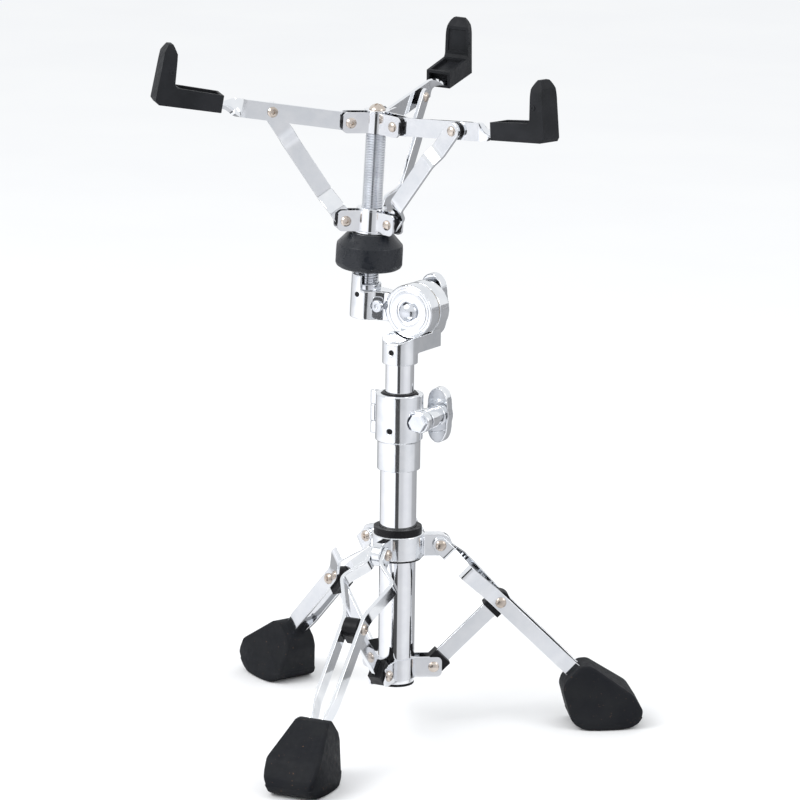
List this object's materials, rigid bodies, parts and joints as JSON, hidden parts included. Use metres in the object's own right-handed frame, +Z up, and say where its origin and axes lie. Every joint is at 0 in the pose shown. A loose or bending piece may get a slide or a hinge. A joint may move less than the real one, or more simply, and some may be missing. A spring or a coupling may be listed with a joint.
{
  "type": "snare drum stand",
  "caption": "Folding snare drum stand: braced tripod, clamped telescoping column, tilter, and a basket of rubber-tipped arms closed by a screw knob.",
  "frame": {"origin": "on the floor, under the axis of the column", "axes": "+Z up along the column; the front leg points along -Y"},
  "size_m": [0.3588, 0.3922, 0.5454],
  "materials": {
    "tube": "mirror chrome plate on steel tube",
    "chrome": "chrome plated stamped steel",
    "strap": "chrome plated flat steel",
    "casting": "polished chrome plated casting",
    "bolt_steel": "zinc and chrome plated steel",
    "rivet": "nickel plated steel",
    "brass": "dull",
    "nylon": "moulded nylon",
    "white_nylon": "moulded nylon",
    "knob_plastic": "satin moulded",
    "rubber": "moulded rubber"
  },
  "bodies": {
    "base": {"lower_tube": "tube", "tube_plug": "nylon", "lower_collar_plates": "chrome", "lower_collar_rivets": "rivet", "clamp_body": "casting", "clamp_liner": "nylon", "clamp_hinge_pin": "chrome", "clamp_bolt": "bolt_steel"},
    "clamp_gate_body": {"clamp_gate": "casting"},
    "clamp_nut_body": {"clamp_wing_nut": "casting"},
    "leg_collar_body": {"leg_collar": "casting", "leg_collar_bush": "nylon"},
    "collar_wing_body": {"collar_wing_bolt": "casting"},
    "strut_front_body": {"strut_front": "strap", "strut_bushes_front": "nylon"},
    "leg_front_body": {"leg_strap_front_a": "strap", "leg_strap_front_b": "strap", "leg_rivets_front": "rivet", "foot_front": "rubber"},
    "strut_right_body": {"strut_right": "strap", "strut_bushes_right": "nylon"},
    "leg_right_body": {"leg_strap_right_a": "strap", "leg_strap_right_b": "strap", "leg_rivets_right": "rivet", "foot_right": "rubber"},
    "strut_left_body": {"strut_left": "strap", "strut_bushes_left": "nylon"},
    "leg_left_body": {"leg_strap_left_a": "strap", "leg_strap_left_b": "strap", "leg_rivets_left": "rivet", "foot_left": "rubber"},
    "glide_body": {"tube_glide": "white_nylon"},
    "column_body": {"upper_tube": "tube", "tilter_base": "casting"},
    "tilter_nut_body": {"tilter_wing_nut": "casting"},
    "tilter_body": {"tilter_arm": "casting", "tilter_bolt": "bolt_steel", "tilter_washer": "brass", "rod_lock_screw": "bolt_steel", "threaded_rod": "bolt_steel", "top_bracket": "chrome", "top_rivets": "rivet", "top_washer": "chrome", "top_screw": "rivet"},
    "lower_bracket_body": {"lower_bracket": "chrome", "lower_sleeve": "chrome", "lower_rivets": "rivet"},
    "knob_body": {"knob": "knob_plastic"},
    "arm_rear_body": {"arm_rear": "strap", "arm_rivet_rear": "rivet", "grip_rear": "rubber"},
    "link_rear_body": {"link_rear": "strap"},
    "arm_left_body": {"arm_left": "strap", "arm_rivet_left": "rivet", "grip_left": "rubber"},
    "link_left_body": {"link_left": "strap"},
    "arm_right_body": {"arm_right": "strap", "arm_rivet_right": "rivet", "grip_right": "rubber"},
    "link_right_body": {"link_right": "strap"}
  },
  "joints": [
    {"name": "leg_fold", "type": "hinge", "parent": "base", "child": "strut_front_body", "pos_m": [0, -0.0291, 0.0511], "axis": [-1, 0, 0], "range_deg": [0, 34.26]},
    {"name": "leg_front_turn", "type": "hinge", "parent": "strut_front_body", "child": "leg_front_body", "pos_m": [0, -0.08122, 0.1035], "axis": [-1, 0, 0], "range_deg": [-72.06, 0]},
    {"name": "strut_right_turn", "type": "hinge", "parent": "base", "child": "strut_right_body", "pos_m": [0.0252, 0.01455, 0.0511], "axis": [0.5, -0.866, 0], "range_deg": [0, 34.26]},
    {"name": "leg_right_turn", "type": "hinge", "parent": "strut_right_body", "child": "leg_right_body", "pos_m": [0.07034, 0.04061, 0.1035], "axis": [0.5, -0.866, 0], "range_deg": [-72.06, 0]},
    {"name": "strut_left_turn", "type": "hinge", "parent": "base", "child": "strut_left_body", "pos_m": [-0.0252, 0.01455, 0.0511], "axis": [0.5, 0.866, 0], "range_deg": [0, 34.26]},
    {"name": "leg_left_turn", "type": "hinge", "parent": "strut_left_body", "child": "leg_left_body", "pos_m": [-0.07034, 0.04061, 0.1035], "axis": [0.5, 0.866, 0], "range_deg": [-72.06, 0]},
    {"name": "leg_collar_turn", "type": "hinge", "parent": "leg_front_body", "child": "leg_collar_body", "pos_m": [0, -0.0334, 0.15], "axis": [-1, 0, 0], "range_deg": [0, 37.8]},
    {"name": "collar_wing_turn", "type": "hinge", "parent": "leg_collar_body", "child": "collar_wing_body", "pos_m": [0, 0.0153, 0.1505], "axis": [0, 1, 0], "continuous": true},
    {"name": "clamp_gate_open", "type": "hinge", "parent": "base", "child": "clamp_gate_body", "pos_m": [-0.02172, 0.0019, 0.253], "axis": [0, 0, 1], "range_deg": [0, 1.5]},
    {"name": "clamp_nut_turn", "type": "hinge", "parent": "base", "child": "clamp_nut_body", "pos_m": [0.02273, 0.01307, 0.252], "axis": [0.0872, 0.9962, 0], "continuous": true},
    {"name": "column_height", "type": "slide", "parent": "base", "child": "glide_body", "axis": [0, 0, 1], "range_m": [-0.02, 0.148]},
    {"name": "column_turn", "type": "hinge", "parent": "glide_body", "child": "column_body", "pos_m": [0, 0, 0.2957], "axis": [0, 0, 1], "continuous": true},
    {"name": "tilt", "type": "hinge", "parent": "column_body", "child": "tilter_body", "pos_m": [0, 0, 0.334], "axis": [0.1564, 0.9877, 0], "range_deg": [-20, 45]},
    {"name": "tilter_nut_turn", "type": "hinge", "parent": "column_body", "child": "tilter_nut_body", "pos_m": [0.00626, 0.03951, 0.334], "axis": [0.1564, 0.9877, 0], "continuous": true},
    {"name": "basket_lift", "type": "slide", "parent": "tilter_body", "child": "lower_bracket_body", "axis": [0.0517, -0.0082, 0.9986], "range_m": [-0.003, 0.012]},
    {"name": "knob_turn", "type": "hinge", "parent": "lower_bracket_body", "child": "knob_body", "pos_m": [-0.03628, 0.01992, 0.37409], "axis": [0.0517, -0.0082, 0.9986], "range_deg": [-540.01, 2160.01]},
    {"name": "arm_rear_turn", "type": "hinge", "parent": "tilter_body", "child": "arm_rear_body", "pos_m": [-0.03162, 0.04115, 0.47917], "axis": [0.9981, 0.0351, -0.0514], "range_deg": [-3.32, 13.29]},
    {"name": "link_rear_turn", "type": "hinge", "parent": "lower_bracket_body", "child": "link_rear_body", "pos_m": [-0.0356, 0.04178, 0.40228], "axis": [0.9981, 0.0351, -0.0514], "range_deg": [-0.51, 2.04]},
    {"name": "arm_left_turn", "type": "hinge", "parent": "tilter_body", "child": "arm_left_body", "pos_m": [-0.04752, 0.00456, 0.47969], "axis": [-0.655, 0.7545, 0.0401], "range_deg": [-3.32, 13.29]},
    {"name": "link_left_turn", "type": "hinge", "parent": "lower_bracket_body", "child": "link_left_body", "pos_m": [-0.0515, 0.00519, 0.4028], "axis": [-0.655, 0.7545, 0.0401], "range_deg": [-0.51, 2.04]},
    {"name": "arm_right_turn", "type": "hinge", "parent": "tilter_body", "child": "arm_right_body", "pos_m": [-0.00999, 0.01187, 0.47781], "axis": [-0.3253, -0.9456, 0.0091], "range_deg": [-3.32, 13.29]},
    {"name": "link_right_turn", "type": "hinge", "parent": "lower_bracket_body", "child": "link_right_body", "pos_m": [-0.01397, 0.0125, 0.40092], "axis": [-0.3253, -0.9456, 0.0091], "range_deg": [-0.51, 2.04]}
  ],
  "couplings": [
    {"joint": "leg_front_turn", "follows": "leg_fold", "ratio": -2.1035},
    {"joint": "strut_right_turn", "follows": "leg_fold", "ratio": 1},
    {"joint": "leg_right_turn", "follows": "leg_fold", "ratio": -2.1035},
    {"joint": "strut_left_turn", "follows": "leg_fold", "ratio": 1},
    {"joint": "leg_left_turn", "follows": "leg_fold", "ratio": -2.1035},
    {"joint": "leg_collar_turn", "follows": "leg_fold", "ratio": 1.1035},
    {"joint": "knob_turn", "follows": "basket_lift", "rad_per_m": 3141.6},
    {"joint": "arm_rear_turn", "follows": "basket_lift", "rad_per_m": 19.33},
    {"joint": "link_rear_turn", "follows": "basket_lift", "rad_per_m": 2.9671},
    {"joint": "arm_left_turn", "follows": "basket_lift", "rad_per_m": 19.33},
    {"joint": "link_left_turn", "follows": "basket_lift", "rad_per_m": 2.9671},
    {"joint": "arm_right_turn", "follows": "basket_lift", "rad_per_m": 19.33},
    {"joint": "link_right_turn", "follows": "basket_lift", "rad_per_m": 2.9671}
  ]
}
